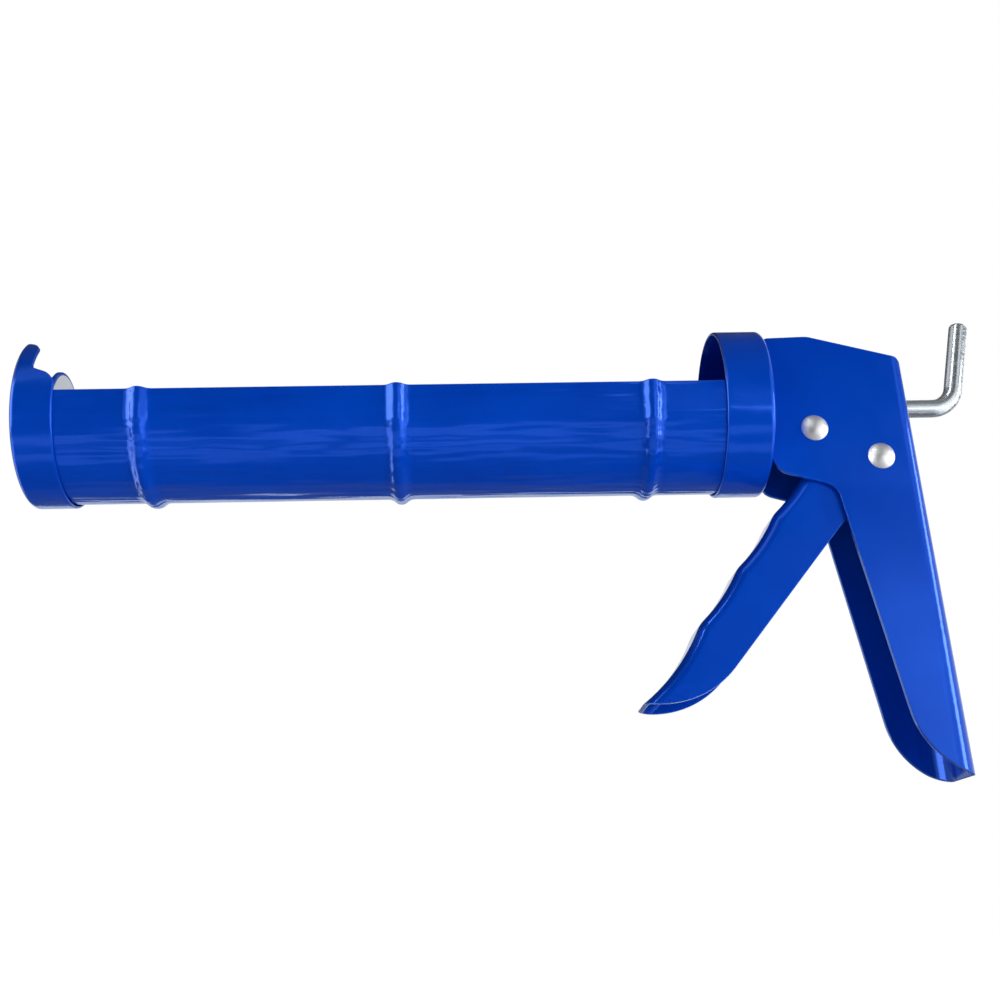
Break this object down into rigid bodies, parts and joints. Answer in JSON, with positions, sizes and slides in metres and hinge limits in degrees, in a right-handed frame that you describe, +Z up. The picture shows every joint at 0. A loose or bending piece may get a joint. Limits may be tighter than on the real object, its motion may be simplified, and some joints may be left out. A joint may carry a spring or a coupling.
{
  "type": "caulking gun",
  "caption": "Skeleton caulking gun with a half-round cradle between pressed end caps, a folded handle, a grooved trigger and a hooked, toothed push rod with a plunger.",
  "frame": {"origin": "centre of the nozzle slot, on the barrel axis, at the outer face of the front cap", "axes": "+X along the barrel from the nozzle end to the handle, +Z up and away from the handle, +Y to the far side as seen in the picture"},
  "size_m": [0.3181, 0.057, 0.1553],
  "materials": {
    "blue_enamel": "gloss",
    "rivet_steel": "satin",
    "pin_steel": "satin",
    "spring_wire": "satin",
    "hardened_steel": "oiled",
    "bright_rod": "bright drawn",
    "plunger_zinc": "zinc plated"
  },
  "bodies": {
    "frame": {"front_cap": "blue_enamel", "cradle": "blue_enamel", "rear_cap": "blue_enamel", "handle_frame": "blue_enamel", "catch_rivet": "rivet_steel", "trigger_rivet": "rivet_steel", "trigger_sleeve": "pin_steel", "catch_spacer_near": "pin_steel", "catch_spacer_far": "pin_steel", "catch_spring": "spring_wire", "trigger_spring": "spring_wire"},
    "trigger": {"trigger": "blue_enamel", "pawl_pin": "pin_steel", "pawl_spacer_near": "pin_steel", "pawl_spacer_far": "pin_steel", "pawl_spring": "spring_wire"},
    "pawl": {"drive_pawl": "hardened_steel"},
    "catch": {"hold_catch": "hardened_steel"},
    "plunger": {"plunger_plate": "blue_enamel", "plunger_washer": "plunger_zinc"},
    "rod": {"push_rod": "bright_rod"}
  },
  "joints": [
    {"name": "trigger_squeeze", "type": "hinge", "parent": "frame", "child": "trigger", "pos_m": [0.2784, 0, -0.0201], "axis": [0, -1, 0], "range_deg": [0, 30], "stiffness_Nm_per_rad": 0.25, "springref_deg": -28.65, "deforming": ["trigger_spring"]},
    {"name": "pawl_pivot", "type": "hinge", "parent": "trigger", "child": "pawl", "pos_m": [0.2812, 0, -0.0095], "axis": [0, -1, 0], "range_deg": [-30, 0], "deforming": ["pawl_spring"]},
    {"name": "catch_pivot", "type": "hinge", "parent": "frame", "child": "catch", "pos_m": [0.2575, 0, -0.01], "axis": [0, -1, 0], "range_deg": [0, 10], "stiffness_Nm_per_rad": 0.02, "springref_deg": -17.19, "deforming": ["catch_spring"]},
    {"name": "rod_slide", "type": "slide", "parent": "frame", "child": "plunger", "axis": [1, 0, 0], "range_m": [-0.003, 0.226]},
    {"name": "rod_turn", "type": "hinge", "parent": "plunger", "child": "rod", "pos_m": [0.0095, 0, 0.0013], "axis": [1, 0, 0], "continuous": true}
  ],
  "couplings": [
    {"joint": "pawl_pivot", "follows": "trigger_squeeze", "ratio": -1}
  ]
}
